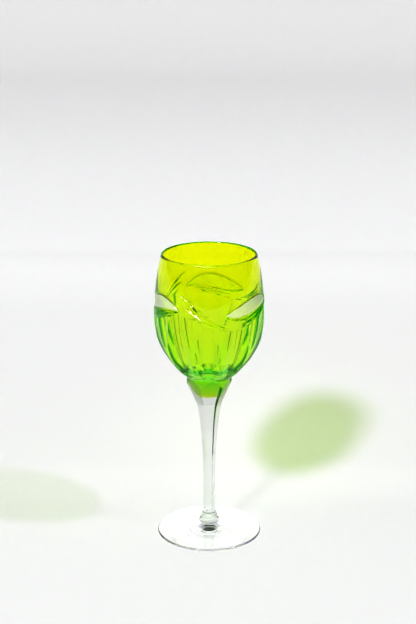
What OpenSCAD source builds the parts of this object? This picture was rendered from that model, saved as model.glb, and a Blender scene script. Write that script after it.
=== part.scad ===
// Cut crystal wine glass: a green bowl on a clear six-sided stem, collar and round foot.
// Millimetres, +Z up, origin at the centre of the circle that the foot stands on.
// Azimuths run anticlockwise seen from above, from the front (-Y).

/* [Overall] */
// Height from the table to the rim
glass_h = 200; // [190:1:210]
// Outer radius of the rim
rim_r = 31.85; // [30:0.05:33]
// Wall thickness at the rim
rim_wall = 1.3; // [1:0.1:1.8]

/* [Bowl] */
// Largest outer radius of the bowl
bowl_r = 37.2; // [36:0.1:38.5]
// Height of the bowl's widest circle
waist_z = 157; // [155:0.5:158]
// Arc radius of the bowl's outside below the widest circle
belly_arc = 52.5; // [51:0.5:54]
// Arc radius of the bowl's inside below the even rim wall
cavity_arc = 90; // [88:0.5:92]
// Radius where the bowl meets the stem's flare
joint_r = 15.3; // [15:0.1:15.8]
// Height of the lowest point of the green glass inside the flare
tip_z = 101; // [100:0.5:102]
// Radius of the green tip
tip_r = 9; // [8:0.5:9.5]

/* [Cut pattern] */
// Number of long flutes round the lower bowl, with a short panel between each two
flutes = 10; // [9:1:11]
// Depth of the long flutes at the widest circle
flute_depth = 0.8; // [0.6:0.1:1]
// Hollow radius of the flutes and panels
flute_hollow = 60; // [50:5:80]
// Height where the long flutes run out
flute_foot_z = 117; // [116.5:0.5:118]
// Height where the short panels run out
panel_foot_z = 140; // [138:0.5:142]
// Repeats of the leaf and sprig garland
motifs = 3; // [1:1:3]
// Depth of a leaf
leaf_depth = 0.6; // [0.4:0.1:0.7]
// Depth of a sprig stroke or leaf vein
stroke_depth = 0.7; // [0.4:0.1:0.8]

/* [Stem] */
// Across the flats of the stem at its thinnest
stem_flats = 7; // [6.4:0.1:8]
// Turn of the stem's corners about the axis
stem_turn = 6.7; // [0:0.1:30]

/* [Collar and foot] */
// Largest radius of the collar
collar_r = 6.9; // [6.6:0.1:7.4]
// Outer radius of the foot
foot_r = 35.85; // [34:0.05:38]
// Thickness of the foot's edge
foot_edge = 1.6; // [1.4:0.1:2]

/* [Hidden] */

$fn = 128;
big_fn = 360;
slack = 1;
green = [0.62, 0.85, 0.05, 0.6];
clear = [0.93, 0.95, 0.97, 0.5];

// An arc's radius, from how far it runs along its tangent and how far it falls away.
function arc_radius(run, fall) = (run * run + fall * fall) / (2 * fall);
// How far the point at run along the tangent has fallen away from an arc of radius arc.
function arc_fall(arc, run) = arc - sqrt(arc * arc - run * run);

// Bowl outside
shoulder_h = glass_h - waist_z;
shoulder_arc = arc_radius(shoulder_h, bowl_r - rim_r);
joint_z = waist_z - sqrt(belly_arc * belly_arc - pow(belly_arc - bowl_r + joint_r, 2));
tip_centre_z = tip_z + tip_r;
tip_reach = norm([joint_r, joint_z - tip_centre_z]);
tip_touch = atan2(joint_z - tip_centre_z, joint_r) - acos(tip_r / tip_reach);
tip_touch_z = tip_centre_z + tip_r * sin(tip_touch);

// Bowl inside: an even wall below the rim, then one arc, then a round bottom
cavity_turn_z = 190;
cavity_cap = 28;
lip_r = rim_wall / 2;
lip_z = glass_h - lip_r;
shoulder_x = bowl_r - shoulder_arc;
cavity_top_arc = norm([rim_r - rim_wall - shoulder_x, lip_z - waist_z]);
cavity_turn = asin((cavity_turn_z - waist_z) / cavity_top_arc);
cavity_x = shoulder_x + (cavity_top_arc - cavity_arc) * cos(cavity_turn);
cavity_z = waist_z + (cavity_top_arc - cavity_arc) * sin(cavity_turn);
cap_reach = cavity_arc - cavity_cap;
cap_centre_z = cavity_z - sqrt(cap_reach * cap_reach - cavity_x * cavity_x);
cap_touch_z = cavity_z - cavity_arc * (cavity_z - cap_centre_z) / cap_reach;

// Cut pattern
flute_step = 360 / flutes;
flute_turn = -1.6;
flute_path = 76;
panel_path = 100;
panel_depth = 0.7;
flute_sweep = 50;
border_mid_z = 160;
border_rise = 4.5;
border_peak = 88;
motif_step = 360 / motifs;
wheel_rise = 3.5;
wheel_sweep = 110;
// Each stroke: azimuth and height of its middle, tilt, lean, radius of its ring
sprig = [[-3.5, 168.5, -29, 0, 41], [-2.5, 165, -21, 0, 40], [-1, 160.6, -12, 0, 40]];
veins = [[54, 176, 3, 38, 43], [54, 164.3, 5, -22, 43]];
leaf_azimuth = 52;
leaf_z = 170.2;
leaf_tilt = 4;
leaf_ring = 41.5;
leaf_hollow = 10.5;
stroke_slope = 1.5;

// Stem
flare_start_z = 93.6;
flare_slope = 0.27;
flare_blend = 3;
waist_of_stem_z = 40;
stem_swell = 1 / 876;
shaft_z = 15;
stem_foot_z = 10.2;
stem_foot_r = 5.5;
stem_foot_h = 9;
stem_foot_arc = 12;
stem_neck_r = 3.3;
facet_steps = 36;

// Collar and foot
collar_z = 5.6;
collar_round = (stem_foot_z - collar_z) / 2;
pad_r = 5.2;
foot_sag = 0.7;
foot_blend = 0.15;
foot_ring_r = 28;
foot_hollow = 0.6;

// The height of the garland's lower edge at an azimuth
function border_z(azimuth) =
    border_mid_z + border_rise * cos(motifs * (azimuth - border_peak));

// Half the stem's width across the flats at a height
function half_flats(z) =
    stem_flats / 2
    + stem_swell * pow(max(z - waist_of_stem_z, 0), 2)
    + flare_slope * bend(z - flare_start_z);
// A ramp of slope 1 with a rounded start
function bend(run) = (run + sqrt(run * run + flare_blend * flare_blend)) / 2;
// The bowl's outer radius at a height at or below its widest circle
function belly_r(z) = bowl_r - arc_fall(belly_arc, waist_z - z);
// The centre of a circle of radius arc through an upper point and a lower point, on their axis side
function path_centre(upper, lower, arc) =
    let (half = (upper - lower) / 2)
    (upper + lower) / 2
    + sqrt(arc * arc - half * half) / norm(half) * [-half[1], half[0]];

// A part of a disc in the profile plane, between two heights
module disc_band(centre, radius, low, high) {
    intersection() {
        translate(centre) circle(r = radius, $fn = big_fn);
        translate([0, low]) square([bowl_r + slack, high - low]);
    }
}

module bowl_tip_profile() {
    polygon([
        [0, tip_touch_z],
        [tip_r * cos(tip_touch), tip_touch_z],
        [joint_r, joint_z],
        [0, joint_z]
    ]);
    disc_band([0, tip_centre_z], tip_r, tip_z, tip_touch_z);
}

module bowl_outer_profile() {
    disc_band([shoulder_x, waist_z], shoulder_arc, waist_z, lip_z);
    disc_band([bowl_r - belly_arc, waist_z], belly_arc, joint_z, waist_z);
    bowl_tip_profile();
    translate([rim_r - lip_r, lip_z]) circle(r = lip_r, $fn = 48);
}

// Each band overlaps the next, which is the wider of the two there
module cavity_profile() {
    disc_band([shoulder_x, waist_z], cavity_top_arc, cavity_turn_z, lip_z);
    disc_band([cavity_x, cavity_z], cavity_arc, cap_touch_z, lip_z);
    disc_band([0, cap_centre_z], cavity_cap, cap_centre_z - cavity_cap, cap_centre_z);
    translate([0, lip_z - lip_r]) square([rim_r - rim_wall, 3 * lip_r]);
}

// The grinding wheel's path for one flute on the +X side, through a point at the widest
// circle and a point at its foot, stopped at a height
module flute_cut(depth, foot_z, path, top_z) {
    upper = [bowl_r - depth, waist_z];
    lower = [belly_r(foot_z), foot_z];
    centre = path_centre(upper, lower, path);
    top_turn = asin((top_z - centre[1]) / path);
    translate([centre[0], 0, centre[1]])
        rotate([90, 0, 0])
            rotate([0, 0, top_turn - flute_sweep])
                rotate_extrude(angle = flute_sweep, $fn = big_fn)
                    translate([path + flute_hollow, 0]) circle(r = flute_hollow);
}

module flute_cuts() {
    for (i = [0 : flutes - 1]) {
        azimuth = flute_turn + i * flute_step;
        beside = azimuth + flute_step / 2;
        rotate([0, 0, azimuth - 90])
            flute_cut(flute_depth, flute_foot_z, flute_path, border_z(azimuth));
        rotate([0, 0, beside - 90])
            flute_cut(panel_depth, panel_foot_z, panel_path, border_z(beside));
    }
}

// Places a ring-shaped cutter so that its inner edge dips into the bowl at one azimuth
module on_bowl(azimuth, z, tilt, lean, ring, depth) {
    rotate([0, 0, azimuth - 90])
        translate([surface_r(z) - depth, 0, z])
            rotate([tilt, -lean, 0])
                translate([-ring, 0, 0])
                    rotate([0, 0, -wheel_sweep / 2])
                        rotate_extrude(angle = wheel_sweep, $fn = big_fn) children();
}

// The uncut bowl's outer radius at a height above the widest circle
function surface_r(z) = bowl_r - arc_fall(shoulder_arc, z - waist_z);

module stroke_cut(stroke, turn) {
    on_bowl(stroke[0] + turn, stroke[1], stroke[2], stroke[3], stroke[4], stroke_depth)
        polygon([
            [stroke[4], 0],
            [stroke[4] + wheel_rise, stroke_slope * wheel_rise],
            [stroke[4] + wheel_rise, -stroke_slope * wheel_rise]
        ]);
}

module leaf_cut(turn) {
    on_bowl(leaf_azimuth + turn, leaf_z, leaf_tilt, 0, leaf_ring, leaf_depth)
        translate([leaf_ring + leaf_hollow, 0]) circle(r = leaf_hollow);
}

module garland_cuts() {
    for (i = [0 : motifs - 1]) {
        turn = i * motif_step;
        for (stroke = concat(sprig, veins)) stroke_cut(stroke, turn);
        leaf_cut(turn);
    }
}

module bowl() {
    color(green) difference() {
        rotate_extrude($fn = big_fn) bowl_outer_profile();
        rotate_extrude($fn = big_fn) cavity_profile();
        flute_cuts();
        garland_cuts();
    }
}

// A slab between two opposite facets of the stem
module facet_slab() {
    low = shaft_z;
    step = (joint_z - low) / facet_steps;
    side = [for (i = [0 : facet_steps]) [half_flats(low + i * step), low + i * step]];
    other = [for (i = [facet_steps : -1 : 0]) [-side[i][0], side[i][1]]];
    rotate([90, 0, 0])
        linear_extrude(height = 4 * joint_r, center = true) polygon(concat(side, other));
}

module stem_shaft() {
    intersection() {
        for_facets() facet_slab();
        cylinder(r = joint_r, h = joint_z, $fn = big_fn);
    }
}

// The space shared by the three slabs, which is six-sided at every height
module for_facets() {
    intersection() {
        rotate([0, 0, stem_turn]) children();
        rotate([0, 0, stem_turn + 60]) children();
        rotate([0, 0, stem_turn + 120]) children();
    }
}

// The shaft's round flare, which stands on the collar
module stem_foot_profile() {
    difference() {
        translate([0, stem_foot_z]) square([stem_foot_r, stem_foot_h]);
        translate([stem_neck_r + stem_foot_arc, stem_foot_z + stem_foot_h])
            circle(r = stem_foot_arc, $fn = big_fn);
    }
}

module stem() {
    color(clear) difference() {
        union() {
            stem_shaft();
            rotate_extrude() stem_foot_profile();
        }
        rotate_extrude($fn = big_fn) bowl_tip_profile();
    }
}

module stem_collar() {
    color(clear) rotate_extrude() {
        translate([0, collar_z]) square([collar_r - collar_round, 2 * collar_round]);
        translate([collar_r - collar_round, collar_z + collar_round])
            circle(r = collar_round);
    }
}

module foot_profile() {
    edge = foot_edge / 2;
    rim = foot_r - edge;
    difference() {
        union() {
            square([rim, foot_edge]);
            translate([rim, edge]) circle(r = edge, $fn = 48);
            difference() {
                square([rim, collar_z]);
                foot_sweep(rim);
            }
        }
        polygon([[0, -slack], [foot_ring_r, -slack], [foot_ring_r, 0], [0, foot_hollow]]);
    }
}

// The hollow curve of the foot's top, from the pad under the collar to the edge
module foot_sweep(rim) {
    run = rim - pad_r;
    rise = collar_z - foot_edge + foot_blend;
    arc = arc_radius(norm([run, rise]) / 2, foot_sag);
    translate([pad_r + run / 2, foot_edge - foot_blend + rise / 2])
        rotate(-atan(rise / run))
            translate([0, arc - foot_sag]) circle(r = arc, $fn = big_fn);
}

module foot() {
    color(clear) rotate_extrude($fn = 180) foot_profile();
}

bowl();
stem();
stem_collar();
foot();
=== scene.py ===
"""A cut crystal wine glass: a lime-green bowl on a clear six-sided stem, collar and foot."""
import math

import bpy
import numpy as np
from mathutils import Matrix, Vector

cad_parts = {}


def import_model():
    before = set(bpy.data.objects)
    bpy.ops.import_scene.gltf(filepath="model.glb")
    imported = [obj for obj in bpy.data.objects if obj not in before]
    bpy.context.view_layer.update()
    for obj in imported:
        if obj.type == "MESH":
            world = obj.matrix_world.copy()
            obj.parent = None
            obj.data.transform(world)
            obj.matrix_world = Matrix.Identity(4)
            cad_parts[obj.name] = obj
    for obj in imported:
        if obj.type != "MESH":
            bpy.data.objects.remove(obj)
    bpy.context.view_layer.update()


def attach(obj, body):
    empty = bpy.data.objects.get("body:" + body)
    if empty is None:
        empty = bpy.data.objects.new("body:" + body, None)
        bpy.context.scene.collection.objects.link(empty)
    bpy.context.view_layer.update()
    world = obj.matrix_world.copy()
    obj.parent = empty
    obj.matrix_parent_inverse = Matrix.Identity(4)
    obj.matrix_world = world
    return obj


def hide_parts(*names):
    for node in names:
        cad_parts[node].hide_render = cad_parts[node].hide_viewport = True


MM = 0.001

# Bowl, in mm: outside
WAIST_R, WAIST_Z = 37.2, 157.0
RIM_R, RIM_Z = 31.85, 200.0
BELLY_ARC = 52.5
JOINT_R = 15.3
TIP_R, TIP_Z = 9.0, 101.0
LIP_R = 0.65
# Bowl, in mm: inside
RIM_WALL = 1.3
CAVITY_TURN_Z = 190.0
CAVITY_ARC, CAVITY_CAP = 90.0, 28.0

# Flutes
FLUTES, FLUTE_TURN, FLUTE_HOLLOW = 10, -1.6, 28.0
FLUTE_DEPTH, FLUTE_FOOT_Z, FLUTE_PATH = 1.2, 117.0, 76.0
PANEL_DEPTH, PANEL_FOOT_Z, PANEL_PATH = 1.1, 140.0, 100.0

# Stem
STEM_FLAT, STEM_TURN = 3.5, 6.7
FLARE_Z, FLARE_SLOPE, FLARE_BLEND = 93.6, 0.27, 3.0
STEM_WAIST_Z, STEM_SWELL = 40.0, 1 / 876
STEM_BASE_Z, STEM_BASE_R, STEM_BASE_H = 10.2, 5.5, 9.0
STEM_NECK_R, STEM_BASE_ARC = 3.3, 12.0

# Collar and foot
COLLAR_R, COLLAR_Z = 6.9, 5.6
FOOT_R, FOOT_EDGE, FOOT_PAD = 35.85, 1.6, 5.2
FOOT_SAG, FOOT_BLEND, FOOT_RING, FOOT_HOLLOW = 0.7, 0.15, 28.0, 0.6

# Meshes: the gap between pieces in mm, and how finely they are divided
GAP = 0.02
COLUMNS = 1080
PATTERN_TOP_Z = 181.0
STEM_FACET_COLUMNS = 16
STEM_ROUND_Z, STEM_SHAFT_Z, STEM_FLARE_Z = 15.0, 21.0, 88.0
STEM_SHARP = 24.0

# Cuts: depths and half-widths in mm, and the tapers at both ends
LEAF_DEPTH, LEAF_EDGE, LEAF_FULL, LEAF_LEAST = 0.6, 0.35, 6.0, 0.3
MATT_FROM, MATT_MARGIN, MATT_LEAST = 0.14, 0.55, 1.2
FLUTE_FADE = 0.7
REPEAT = 120
STROKE_MARGIN = (5, 3)
PATTERN_R = 36.6

# Materials
CRYSTAL_IOR, HIDDEN_IOR = 1.54, 1.0
CLEAR_TINT = (0.88, 0.9, 0.88, 1.0)
GREEN_TINT, GREEN_DENSITY = (0.9855, 0.999, 0.0, 1.0), 3000.0
MATT_ROUGHNESS, MATT_CLEARNESS = 0.3, 0.62

# Camera: lens and sensor in mm, place in metres, and degrees down from level
LENS, SENSOR = 84.92, 36.0
CAMERA_PLACE, CAMERA_DOWN = (-0.0008, -0.9433, 0.4489), 17.069

# Paper sweep in metres, with shade and light painted into its colour by depth behind the glass
SWEEP_FRONT, SWEEP_BACK, SWEEP_BEND, SWEEP_TOP, SWEEP_WIDTH = 1.5, 1.6, 0.5, 2.4, 6.0
RISE_START, RISE_END, RISE_SLOPE, RISE_BEND = 0.04, 0.42, 15.0, 0.18
FLOOR_DROP = -0.00005
PAPER_DEEP = 2.2
# Painted shade and light: the paper's whiteness at each depth, made darker or lighter where the
# lamps' light falls less or more
PAPER_PAINTED_SHADES = [(0.0, 0.85), (0.05, 0.84), (0.1, 0.77), (0.3, 0.79), (0.38, 0.84), (0.44, 0.92),
                (0.8, 0.88), (1.2, 0.8), (1.75, 0.7), (2.2, 0.7)]

# Lamps: name, direction towards the lamp, its width in degrees, strength
LAMPS = [("key", (-80, -136, 146), 7.0, 1.42), ("side", (131, -49, 157), 3, 0.44)]
THROUGH, EDGE_SHARE = (0.4, 0.6, 0.1), 0.18
STRIP_PLACE, STRIP_AIM, STRIP_SIZE, STRIP = (-0.15, -1.15, 1.1), (0, 0, 0.15), (1.3, 0.08), 13.0
ROOM_COLOUR, ROOM = (0.95, 0.96, 1.0, 1), 0.08


def arc_radius(run, fall):
    """An arc's radius, from how far it runs along its tangent and how far it falls away."""
    return (run * run + fall * fall) / (2 * fall)


def fall_away(arc, run):
    """How far the point at run along the tangent has fallen away from an arc."""
    return arc - np.sqrt(np.maximum(arc * arc - run * run, 0))


BELLY_X = WAIST_R - BELLY_ARC
SHOULDER_ARC = arc_radius(RIM_Z - WAIST_Z, WAIST_R - RIM_R)
JOINT_Z = WAIST_Z - math.sqrt(BELLY_ARC**2 - (JOINT_R - BELLY_X) ** 2)
TIP_CZ = TIP_Z + TIP_R
TIP_TOUCH = (math.atan2(JOINT_Z - TIP_CZ, JOINT_R)
             - math.acos(TIP_R / math.hypot(JOINT_R, JOINT_Z - TIP_CZ)))
SHOULDER_X = WAIST_R - SHOULDER_ARC
INNER_TOP_ARC = math.hypot(RIM_R - RIM_WALL - SHOULDER_X, RIM_Z - LIP_R - WAIST_Z)
INNER_TURN = math.asin((CAVITY_TURN_Z - WAIST_Z) / INNER_TOP_ARC)
CAVITY_X = SHOULDER_X + (INNER_TOP_ARC - CAVITY_ARC) * math.cos(INNER_TURN)
CAVITY_Z = WAIST_Z + (INNER_TOP_ARC - CAVITY_ARC) * math.sin(INNER_TURN)
CAP_REACH = CAVITY_ARC - CAVITY_CAP
CAP_CZ = CAVITY_Z - math.sqrt(CAP_REACH**2 - CAVITY_X**2)
CAP_TOUCH = -math.asin((CAVITY_Z - CAP_CZ) / CAP_REACH)


def path_centre(depth, foot_z, path):
    """The centre of a cutter's circle through the widest circle and its foot on the bowl."""
    upper = np.array([WAIST_R - depth, WAIST_Z])
    lower = np.array([WAIST_R - fall_away(BELLY_ARC, WAIST_Z - foot_z), foot_z])
    half = (upper - lower) / 2
    aside = math.sqrt(path**2 - half @ half) / math.hypot(*half)
    return (upper + lower) / 2 + aside * np.array([-half[1], half[0]])


# ---------------------------------------------------------------- cut pattern
# All lines are given as (azimuth in degrees, height in mm), and repeat every 120 degrees.
BORDER = [(5, 157.8), (20, 157.2), (35, 157.4), (45, 158.8), (60, 161.6), (75, 165.2),
          (88, 167.4), (98, 165.2), (110, 161.8), (120, 159.4), (125, 157.8)]
LEAF_TOP = [(15, 167.2), (22, 169), (30, 171.4), (45, 175), (60, 176.6), (75, 174.6), (88.5, 168.6)]
LEAF_LOW = [(15, 167.2), (22, 165.2), (30, 164), (45, 164.6), (60, 166.6), (75, 168.2), (88.5, 168.6)]
VEIN = [(33, 160.4), (42, 161.2), (55, 163.4), (70, 166.3), (84, 168)]
SPRIG_A = [(-33, 179.4), (-26, 177.6), (-18, 174), (-8, 168), (4, 163.2), (14, 160.2), (24, 158.4)]
SPRIG_B = [(-28, 172), (-19, 170), (-10, 166.6), (2, 161.8), (12, 159.6)]
SPRIG_C = [(-23, 166), (-14, 163.4), (-4, 160.4), (6, 158.4)]


def smooth_line(points, n):
    """A smooth curve through points, as n short steps."""
    p = np.array(points, float)
    t = np.concatenate([[0], np.cumsum(np.hypot(np.diff(p[:, 0]) * 0.64, np.diff(p[:, 1])))])
    m = np.gradient(p, t, axis=0)
    q = np.linspace(0, t[-1], n)
    i = np.clip(np.searchsorted(t, q, side="right") - 1, 0, len(t) - 2)
    h = (t[i + 1] - t[i])[:, None]
    s = ((q - t[i]) / (t[i + 1] - t[i]))[:, None]
    return ((2 * s**3 - 3 * s**2 + 1) * p[i] + (s**3 - 2 * s**2 + s) * h * m[i]
            + (-2 * s**3 + 3 * s**2) * p[i + 1] + (s**3 - s**2) * h * m[i + 1])


class Pattern:
    """Depths of the cuts over the outside of the bowl."""

    def __init__(self, azimuth, z):
        self.u, self.z = azimuth, z
        self.depth = np.zeros_like(z)
        self.frost = np.zeros_like(z)
        self.mm_per_deg = math.radians(1) * PATTERN_R

    def repeats(self, line):
        """A line's copies round the bowl that come near these azimuths."""
        for turn in range(-2 * REPEAT, 3 * REPEAT, REPEAT):
            moved = line.copy()
            moved[:, 0] += turn
            if moved[:, 0].max() > self.u.min() - 6 and moved[:, 0].min() < self.u.max() + 6:
                yield moved

    def stroke(self, points, depth, width, taper):
        """A mitre cut along a line, tapering to nothing at its ends."""
        line = smooth_line(points, 60)
        t = np.linspace(0, 1, len(line))
        size = np.clip(t / (taper[0] * 0.5), 0, 1) ** 0.7
        size *= np.clip((1 - t) / (taper[1] * 0.5), 0, 1) ** 0.7
        for moved in self.repeats(line):
            lo, hi = moved.min(axis=0) - STROKE_MARGIN, moved.max(axis=0) + STROKE_MARGIN
            near = ((self.u > lo[0]) & (self.u < hi[0]) & (self.z > lo[1]) & (self.z < hi[1]))
            if near.any():
                cut = self.mitre(self.u[near], self.z[near], moved, size, depth, width)
                self.depth[near] = np.maximum(self.depth[near], cut)

    def mitre(self, u, z, line, size, depth, width):
        """The depth at each point of a V-shaped cut along a line of short steps."""
        best = np.zeros(u.shape)
        for k in range(len(line) - 1):
            ax, ay = line[k, 0] * self.mm_per_deg, line[k, 1]
            dx, dy = line[k + 1, 0] * self.mm_per_deg - ax, line[k + 1, 1] - ay
            s = ((u * self.mm_per_deg - ax) * dx + (z - ay) * dy) / (dx * dx + dy * dy)
            s = np.clip(s, 0, 1)
            aside = np.hypot(u * self.mm_per_deg - ax - s * dx, z - ay - s * dy)
            local = size[k] + s * (size[k + 1] - size[k])
            half = width * np.maximum(local, 1e-6)
            best = np.maximum(best, depth * local * np.clip(1 - aside / half, 0, 1))
        return best

    def leaf(self, top, low, depth):
        """A hollow leaf between two lines, matt except along its lower side."""
        up, down = smooth_line(top, 80), smooth_line(low, 80)
        for hi, lo in zip(self.repeats(up), self.repeats(down)):
            zt = np.interp(self.u, hi[:, 0], hi[:, 1], left=0, right=0)
            zb = np.interp(self.u, lo[:, 0], lo[:, 1], left=1, right=1)
            tall = zt - zb
            inside = (tall > LEAF_LEAST) & (self.z < zt) & (self.z > zb)
            s = np.where(inside, (self.z - zb) / np.maximum(tall, LEAF_LEAST), 0)
            across = LEAF_EDGE + (1 - LEAF_EDGE) * 4 * s * (1 - s)
            hollow = depth * np.minimum(tall / LEAF_FULL, 1) * across
            self.depth = np.maximum(self.depth, np.where(inside, hollow, 0))
            matt = inside & (s > MATT_FROM) & (self.z < zt - MATT_MARGIN) & (tall > MATT_LEAST)
            self.frost = np.maximum(self.frost, matt.astype(float))

    def flutes(self, radius, turn, depth, foot_z, path):
        """Hollow flutes below the border, as the cutter's circle at each height."""
        border = smooth_line(BORDER, 200)
        start = BORDER[0][0]
        around = np.mod(self.u - start, REPEAT) + start
        top = np.interp(around, border[:, 0], border[:, 1])
        cx, cz = path_centre(depth, foot_z, path)
        floor_r = cx + np.sqrt(path**2 - (self.z - cz) ** 2)
        slope = np.sqrt(1 - ((self.z - cz) / path) ** 2)
        hollow = FLUTE_HOLLOW * slope
        step = 360 / FLUTES
        off = np.mod(self.u - turn + step / 2, step) - step / 2
        c = floor_r + hollow
        reach = hollow**2 - (c * np.sin(np.radians(off))) ** 2
        cut_r = c * np.cos(np.radians(off)) - np.sqrt(np.maximum(reach, 0))
        cut = np.where(reach > 0, radius - cut_r, 0)
        fade = np.clip((top - self.z) / FLUTE_FADE, 0, 1)
        self.depth = np.maximum(self.depth, np.maximum(cut, 0) * fade)


def cut_depths(azimuth, z, radius):
    """How deep the bowl is cut at each point, and where it is matt."""
    p = Pattern(azimuth, z)
    p.flutes(radius, FLUTE_TURN, FLUTE_DEPTH, FLUTE_FOOT_Z, FLUTE_PATH)
    p.flutes(radius, FLUTE_TURN + 180 / FLUTES, PANEL_DEPTH, PANEL_FOOT_Z, PANEL_PATH)
    p.leaf(LEAF_TOP, LEAF_LOW, LEAF_DEPTH)
    p.stroke(LEAF_TOP, 1.05, 1.1, (0.1, 0.1))
    p.stroke(LEAF_LOW, 1.05, 1.1, (0.1, 0.1))
    p.stroke(VEIN, 1.25, 1.3, (0.7, 0.5))
    p.stroke(BORDER[2:7], 0.8, 1.1, (0.4, 0.3))
    p.stroke(SPRIG_A, 1.15, 1.9, (0.5, 1.0))
    p.stroke(SPRIG_B, 1.1, 1.8, (0.5, 1.0))
    p.stroke(SPRIG_C, 1.0, 1.6, (0.5, 1.0))
    return p.depth, p.frost


# ---------------------------------------------------------------- meshes
def arc_points(cx, cz, radius, start, end, n):
    """Points (r, z) on an arc between two angles in radians."""
    a = np.linspace(start, end, n)
    return np.column_stack([cx + radius * np.cos(a), cz + radius * np.sin(a)])


def outside_profile():
    """The uncut outside from the joint circle to the lip, finest where it is cut."""
    turn = math.asin((PATTERN_TOP_Z - WAIST_Z) / SHOULDER_ARC)
    end = math.asin((RIM_Z - LIP_R - WAIST_Z) / SHOULDER_ARC)
    low = arc_points(BELLY_X, WAIST_Z, BELLY_ARC, math.asin((JOINT_Z - WAIST_Z) / BELLY_ARC), 0, 200)
    dense = arc_points(SHOULDER_X, WAIST_Z, SHOULDER_ARC, 0, turn, 120)
    plain = arc_points(SHOULDER_X, WAIST_Z, SHOULDER_ARC, turn, end, 20)
    return np.vstack([low, dense[1:], plain[1:]])


def inside_profile():
    """The cavity from the lip down to its bottom."""
    start = math.asin((RIM_Z - LIP_R - WAIST_Z) / INNER_TOP_ARC)
    top = arc_points(SHOULDER_X, WAIST_Z, INNER_TOP_ARC, start, INNER_TURN, 16)
    low = arc_points(CAVITY_X, CAVITY_Z, CAVITY_ARC, INNER_TURN, CAP_TOUCH, 90)
    cap = arc_points(0, CAP_CZ, CAVITY_CAP, CAP_TOUCH, -math.pi / 2, 40)
    return np.vstack([top, low[1:], cap[1:]])


def tip_profile(gap):
    """The joint between bowl and flare, from its lowest point to the joint circle."""
    r = TIP_R - gap
    cap = arc_points(0, TIP_CZ, r, -math.pi / 2, TIP_TOUCH, 24)
    n = np.array([math.cos(TIP_TOUCH), math.sin(TIP_TOUCH)]) * gap
    cone = np.linspace(cap[-1], np.array([JOINT_R, JOINT_Z]) - n, 16)
    cone[-1] = (JOINT_R, JOINT_Z)
    return np.vstack([cap, cone[1:]])


def is_pole(ring):
    return np.hypot(ring[0, 0], ring[0, 1]) < 1e-6


def new_mesh(name, points, faces):
    """A mesh from its points and from arrays of faces, each of one size."""
    loops = np.concatenate([f.ravel() for f in faces])
    sizes = np.concatenate([np.full(len(f), f.shape[1]) for f in faces])
    mesh = bpy.data.meshes.new(name)
    mesh.vertices.add(len(points))
    mesh.vertices.foreach_set("co", points.ravel())
    mesh.loops.add(len(loops))
    mesh.loops.foreach_set("vertex_index", loops)
    mesh.polygons.add(len(sizes))
    mesh.polygons.foreach_set("loop_start", np.concatenate([[0], np.cumsum(sizes)[:-1]]))
    mesh.polygons.foreach_set("loop_total", sizes)
    mesh.update(calc_edges=True)
    return mesh


def ring_mesh(rows, exposed, name, frost=None):
    """A closed mesh from rows of rings; a first or last row of radius 0 becomes one point."""
    start = 1 if is_pole(rows[0]) else 0
    end = len(rows) - (1 if is_pole(rows[-1]) else 0)
    body = rows[start:end]
    m, n = body.shape[:2]
    idx = np.arange(m * n).reshape(m, n)
    beside = np.roll(idx, -1, axis=1)
    faces = [np.stack([idx[:-1], beside[:-1], beside[1:], idx[1:]], axis=-1).reshape(-1, 4)]
    flags = [np.repeat(exposed[start:start + m - 1], n)]
    poles = []
    if start:
        faces.append(np.column_stack([np.full(n, m * n), beside[0], idx[0]]))
        flags.append(np.full(n, exposed[0]))
        poles.append(rows[0, 0])
    if end < len(rows):
        faces.append(np.column_stack([np.full(n, m * n + len(poles)), idx[-1], beside[-1]]))
        flags.append(np.full(n, exposed[-1]))
        poles.append(rows[-1, 0])
    points = np.vstack([body.reshape(-1, 3), np.array(poles).reshape(-1, 3)]) * MM
    mesh = new_mesh(name, points, faces)
    flag = mesh.attributes.new("exposed", "FLOAT", "FACE")
    flag.data.foreach_set("value", np.concatenate(flags).astype(float))
    if frost is not None:
        matt = mesh.attributes.new("frost", "FLOAT", "POINT")
        values = np.concatenate([frost[start:end].ravel(), np.zeros(len(poles))])
        matt.data.foreach_set("value", values)
    mesh.validate()
    obj = bpy.data.objects.new(name, mesh)
    bpy.context.scene.collection.objects.link(obj)
    mesh.shade_smooth()
    return obj


def spin(profile, azimuth):
    """Rows of ring points from a profile: azimuth 0 faces the front, -Y."""
    a = np.radians(azimuth)
    r, z = profile[:, 0][:, None], profile[:, 1][:, None]
    return np.stack([r * np.sin(a), -r * np.cos(a), z + 0 * a], axis=-1)


def build_bowl():
    """The bowl, with its cuts pressed into the outside between the joint and the lip."""
    azimuth = np.arange(COLUMNS) * 360 / COLUMNS - 180
    tip = tip_profile(GAP)
    out = outside_profile()
    lip = arc_points(RIM_R - LIP_R, RIM_Z - LIP_R, LIP_R, 0, math.pi, 13)
    inner = inside_profile()
    profile = np.vstack([tip, out[1:], lip[1:-1], inner])
    rows = spin(profile, azimuth)
    exposed = np.ones(len(profile) - 1)
    exposed[:len(tip) - 1] = 0
    lo, hi = len(tip), len(tip) - 1 + len(out)
    u, z = np.meshgrid(azimuth, profile[lo:hi, 1])
    radius = np.repeat(profile[lo:hi, 0][:, None], COLUMNS, axis=1)
    depth, frost = cut_depths(u, z, radius)
    new_r = radius - depth
    a = np.radians(u)
    rows[lo:hi, :, 0] = new_r * np.sin(a)
    rows[lo:hi, :, 1] = -new_r * np.cos(a)
    all_frost = np.zeros(rows.shape[:2])
    all_frost[lo:hi] = frost
    return ring_mesh(rows, exposed, "bowl_glass", all_frost)


def half_flats(z):
    """Half the stem's width across the flats."""
    run = z - FLARE_Z
    bend = (run + np.sqrt(run * run + FLARE_BLEND**2)) / 2
    return STEM_FLAT + STEM_SWELL * np.maximum(z - STEM_WAIST_Z, 0) ** 2 + FLARE_SLOPE * bend


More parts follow.
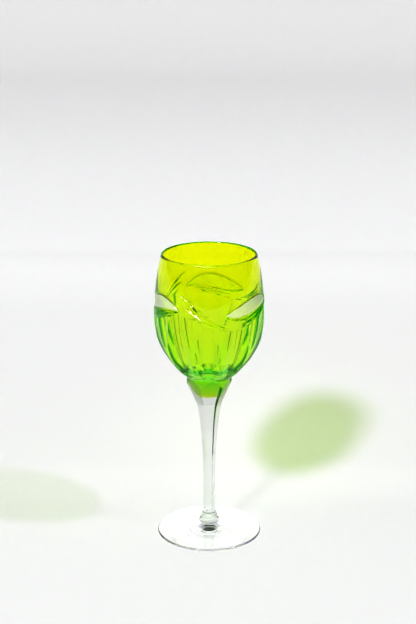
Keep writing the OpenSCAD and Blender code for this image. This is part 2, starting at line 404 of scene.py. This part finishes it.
def stem_base(z):
    """The radius of the round flare that the stem stands on."""
    top = STEM_BASE_Z + STEM_BASE_H
    inside = STEM_BASE_ARC**2 - (np.minimum(z, top) - top) ** 2
    base = np.minimum(STEM_NECK_R + STEM_BASE_ARC - np.sqrt(inside), STEM_BASE_R)
    return np.where(z < top, base, 0)


def build_stem():
    """The six-sided stem, round at its base and hollowed at the top for the bowl's tip."""
    facet = np.linspace(-30, 30, STEM_FACET_COLUMNS + 1)[:-1]
    azimuth = np.concatenate([STEM_TURN + 60 * k + facet for k in range(6)])
    off = np.mod(azimuth - STEM_TURN + 30, 60) - 30
    step_z = STEM_BASE_Z + 2.1
    z = np.concatenate([np.linspace(STEM_BASE_Z + GAP, step_z, 5),
                        np.linspace(step_z, STEM_SHAFT_Z, 30)[1:],
                        np.linspace(STEM_SHAFT_Z, STEM_FLARE_Z, 60)[1:],
                        np.linspace(STEM_FLARE_Z, JOINT_Z, 90)[1:]])
    flat = half_flats(z)[:, None] / np.cos(np.radians(off))[None, :]
    base = stem_base(z)[:, None]
    r = np.minimum(np.maximum(flat, base), JOINT_R)
    r = np.where(z[:, None] < STEM_ROUND_Z, base, r)
    a = np.radians(azimuth)
    outer = np.stack([r * np.sin(a), -r * np.cos(a), z[:, None] + 0 * r], axis=-1)
    outer[-1, :, 2] = JOINT_Z - GAP
    under = np.array([[radius, STEM_BASE_Z + GAP] for radius in (0, 2.5, 5.2)])
    seat = spin(tip_profile(0)[::-1], azimuth)
    rows = np.concatenate([spin(under, azimuth), outer, seat[1:]])
    exposed = np.ones(len(rows) - 1)
    exposed[:len(under)] = 0
    exposed[len(under) + len(z) - 1:] = 0
    obj = ring_mesh(rows, exposed, "stem_glass")
    obj.data.set_sharp_from_angle(angle=math.radians(STEM_SHARP))
    return obj


def build_collar():
    """The rounded collar between the stem and the foot."""
    azimuth = np.arange(128) * 360 / 128
    half = (STEM_BASE_Z - COLLAR_Z) / 2
    side = arc_points(COLLAR_R - half, COLLAR_Z + half, half, -math.pi / 2, math.pi / 2, 25)
    side[0] = (COLLAR_R - half, COLLAR_Z + GAP)
    profile = np.vstack([[0, COLLAR_Z + GAP], [2.2, COLLAR_Z + GAP], side,
                         [2.2, STEM_BASE_Z], [0, STEM_BASE_Z]])
    exposed = np.ones(len(profile) - 1)
    exposed[:2] = 0
    exposed[-2:] = 0
    return ring_mesh(spin(profile, azimuth), exposed, "collar_glass")


def build_foot():
    """The foot: slightly hollow below, a round edge, and a low arc up to its pad."""
    azimuth = np.arange(256) * 360 / 256
    edge = FOOT_EDGE / 2
    rim = FOOT_R - edge
    run, rise = rim - FOOT_PAD, COLLAR_Z - FOOT_EDGE + FOOT_BLEND
    chord = math.hypot(run, rise)
    arc = arc_radius(chord / 2, FOOT_SAG)
    tilt = -math.atan(rise / run)
    cx = FOOT_PAD + run / 2 - math.sin(tilt) * (arc - FOOT_SAG)
    cz = FOOT_EDGE - FOOT_BLEND + rise / 2 + math.cos(tilt) * (arc - FOOT_SAG)
    x = np.linspace(rim, FOOT_PAD, 50)
    top = np.column_stack([x, np.maximum(cz - np.sqrt(arc**2 - (x - cx) ** 2), FOOT_EDGE)])
    top[-1, 1] = COLLAR_Z
    low = np.column_stack([np.linspace(0, FOOT_RING, 12), np.linspace(FOOT_HOLLOW, 0, 12)])
    side = arc_points(rim, edge, edge, -math.pi / 2, math.pi / 2, 17)
    pad = COLLAR_R - (STEM_BASE_Z - COLLAR_Z) / 2
    profile = np.vstack([low, side, top[1:], [pad, COLLAR_Z], [2.2, COLLAR_Z], [0, COLLAR_Z]])
    exposed = np.ones(len(profile) - 1)
    exposed[-2:] = 0
    return ring_mesh(spin(profile, azimuth), exposed, "foot_glass")


# ---------------------------------------------------------------- materials
def follow(mat, attribute, low, high, socket):
    """Let one of the shader's sockets run from low to high with a mesh attribute."""
    nodes, links = mat.node_tree.nodes, mat.node_tree.links
    value = nodes.new("ShaderNodeAttribute")
    value.attribute_name = attribute
    scale = nodes.new("ShaderNodeMapRange")
    scale.inputs["To Min"].default_value = low
    scale.inputs["To Max"].default_value = high
    links.new(value.outputs["Fac"], scale.inputs["Value"])
    links.new(scale.outputs["Result"], nodes["Principled BSDF"].inputs[socket])


def new_crystal(name, tint):
    """Polished glass that does not bend light where two pieces meet."""
    mat = bpy.data.materials.new(name)
    mat.use_nodes = True
    shader = mat.node_tree.nodes["Principled BSDF"]
    shader.inputs["Transmission Weight"].default_value = 1.0
    shader.inputs["IOR"].default_value = CRYSTAL_IOR
    shader.inputs["Roughness"].default_value = 0.0
    shader.inputs["Base Color"].default_value = tint
    follow(mat, "exposed", HIDDEN_IOR, CRYSTAL_IOR, "IOR")
    return mat


def clear_crystal():
    return new_crystal("clear_crystal", CLEAR_TINT)


def green_crystal():
    """Glass coloured through its depth, with matt leaves."""
    mat = new_crystal("green_crystal", (1, 1, 1, 1))
    follow(mat, "frost", 0.0, MATT_ROUGHNESS, "Roughness")
    follow(mat, "frost", 1.0, MATT_CLEARNESS, "Transmission Weight")
    nodes, links = mat.node_tree.nodes, mat.node_tree.links
    volume = nodes.new("ShaderNodeVolumeAbsorption")
    volume.inputs["Color"].default_value = GREEN_TINT
    volume.inputs["Density"].default_value = GREEN_DENSITY
    links.new(volume.outputs["Volume"], nodes["Material Output"].inputs["Volume"])
    return mat


def paper():
    """White paper with painted shade and light: its colour is darker or lighter by how far it lies
    behind the glass, standing in for how the lamps light the sweep.
    """
    mat = bpy.data.materials.new("paper")
    mat.use_nodes = True
    nodes, links = mat.node_tree.nodes, mat.node_tree.links
    shader = nodes["Principled BSDF"]
    shader.inputs["Roughness"].default_value = 0.9
    shader.inputs["Specular IOR Level"].default_value = 0.1
    place = nodes.new("ShaderNodeNewGeometry")
    split = nodes.new("ShaderNodeSeparateXYZ")
    deep = nodes.new("ShaderNodeMapRange")
    deep.inputs["From Max"].default_value = PAPER_DEEP
    ramp = nodes.new("ShaderNodeValToRGB")
    stops = ramp.color_ramp.elements
    for depth, _ in PAPER_PAINTED_SHADES[1:-1]:
        stops.new(depth / PAPER_DEEP)
    for stop, (_, shade) in zip(stops, PAPER_PAINTED_SHADES):
        stop.color = (shade, shade, shade, 1)
    links.new(place.outputs["Position"], split.inputs["Vector"])
    links.new(split.outputs["Y"], deep.inputs["Value"])
    links.new(deep.outputs["Result"], ramp.inputs["Fac"])
    # The ramp paints shade and light into the paper's colour by depth
    links.new(ramp.outputs["Color"], shader.inputs["Base Color"])
    return mat


# ---------------------------------------------------------------- studio
def add_camera():
    data = bpy.data.cameras.new("camera")
    data.lens = LENS
    data.sensor_width = SENSOR
    cam = bpy.data.objects.new("camera", data)
    cam.location = CAMERA_PLACE
    cam.rotation_euler = (math.radians(90 - CAMERA_DOWN), 0, 0)
    bpy.context.scene.collection.objects.link(cam)
    bpy.context.scene.camera = cam


def sweep_line():
    """The paper's line (y, z): flat under the glass, a gentle rise, then a far sweep up."""
    slope = math.radians(RISE_SLOPE)
    run, lift = RISE_BEND * math.sin(slope), RISE_BEND * (1 - math.cos(slope))
    up = [(RISE_BEND * math.sin(slope * i / 8), RISE_BEND * (1 - math.cos(slope * i / 8)))
          for i in range(9)]
    level = lift * 2 + (RISE_END - RISE_START - 2 * run) * math.tan(slope)
    bend = arc_points(0, 0, SWEEP_BEND, -math.pi / 2, 0, 24)
    line = [(-SWEEP_FRONT, 0.0)]
    line += [(RISE_START + y, z) for y, z in up]
    line += [(RISE_END - y, level - z) for y, z in up[::-1]]
    line += [(SWEEP_BACK + x, level + SWEEP_BEND + z) for x, z in bend]
    return line + [(SWEEP_BACK + SWEEP_BEND, SWEEP_TOP)]


def add_floor():
    line = sweep_line()
    half = SWEEP_WIDTH / 2
    verts = [(side * half, y, z + FLOOR_DROP) for y, z in line for side in (-1, 1)]
    faces = [(2 * i, 2 * i + 1, 2 * i + 3, 2 * i + 2) for i in range(len(line) - 1)]
    mesh = bpy.data.meshes.new("floor")
    mesh.from_pydata(verts, [], faces)
    mesh.shade_smooth()
    mesh.materials.append(paper())
    floor = bpy.data.objects.new("floor", mesh)
    bpy.context.scene.collection.objects.link(floor)


def add_sun(name, direction, angle, strength, colour, blockers=None):
    """A far, soft lamp. Only blockers shade its light; with None nothing does."""
    data = bpy.data.lights.new(name, "SUN")
    data.angle = math.radians(angle)
    data.energy = strength
    data.color = colour
    lamp = bpy.data.objects.new(name, data)
    lamp.rotation_euler = (-Vector(direction)).to_track_quat("-Z", "Y").to_euler()
    lamp.visible_transmission = False
    bpy.context.scene.collection.objects.link(lamp)
    if blockers is None:
        data.use_shadow = False
        return
    group = bpy.data.collections.new(name + "_blockers")
    for obj in blockers:
        group.objects.link(obj)
    lamp.light_linking.blocker_collection = group


def add_strip():
    """A long soft box above the camera, for the shine on the cuts and the rim."""
    data = bpy.data.lights.new("strip", "AREA")
    data.shape = "RECTANGLE"
    data.size, data.size_y = STRIP_SIZE
    data.energy = STRIP * math.pi * STRIP_SIZE[0] * STRIP_SIZE[1]
    data.use_shadow = False
    lamp = bpy.data.objects.new("strip", data)
    lamp.visible_transmission = False
    lamp.location = STRIP_PLACE
    aim = Vector(STRIP_AIM) - Vector(STRIP_PLACE)
    lamp.rotation_euler = aim.to_track_quat("-Z", "Y").to_euler()
    bpy.context.scene.collection.objects.link(lamp)


def add_lamp(name, direction, angle, strength, bowl, others):
    """One lamp in three shares: what the bowl lets through, what it takes, and what edges take."""
    taken = [1 - t - EDGE_SHARE for t in THROUGH]
    add_sun(name + "_through", direction, angle, strength, THROUGH)
    add_sun(name + "_taken", direction, angle, strength, taken, [bowl])
    edge = [EDGE_SHARE] * 3
    add_sun(name + "_edge", direction, angle, strength, edge, [bowl] + others)


def add_world():
    world = bpy.data.worlds.new("studio")
    world.use_nodes = True
    background = world.node_tree.nodes["Background"]
    background.inputs["Color"].default_value = ROOM_COLOUR
    background.inputs["Strength"].default_value = ROOM
    bpy.context.scene.world = world


def set_look():
    """A contrasty picture, with enough bounces for glass and no bright specks."""
    scene = bpy.context.scene
    scene.view_settings.view_transform = "Standard"
    scene.view_settings.look = "Very High Contrast"
    scene.cycles.max_bounces = 32
    scene.cycles.transmission_bounces = 32
    scene.cycles.glossy_bounces = 16
    scene.cycles.caustics_reflective = False
    scene.cycles.sample_clamp_indirect = 1.2


def main():
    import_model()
    green, clear = green_crystal(), clear_crystal()
    parts = [(build_bowl(), "bowl", "green_crystal", green),
             (build_stem(), "stem", "clear_crystal", clear),
             (build_collar(), "stem_collar", "clear_crystal", clear),
             (build_foot(), "foot", "clear_crystal", clear)]
    for obj, node, slot, mat in parts:
        obj.data.materials.append(mat)
        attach(obj, "root")
        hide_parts(node)
    add_camera()
    add_world()
    add_floor()
    pieces = [obj for obj, *_ in parts]
    for name, direction, angle, strength in LAMPS:
        add_lamp(name, direction, angle, strength, pieces[0], pieces[1:])
    add_strip()
    set_look()


main()
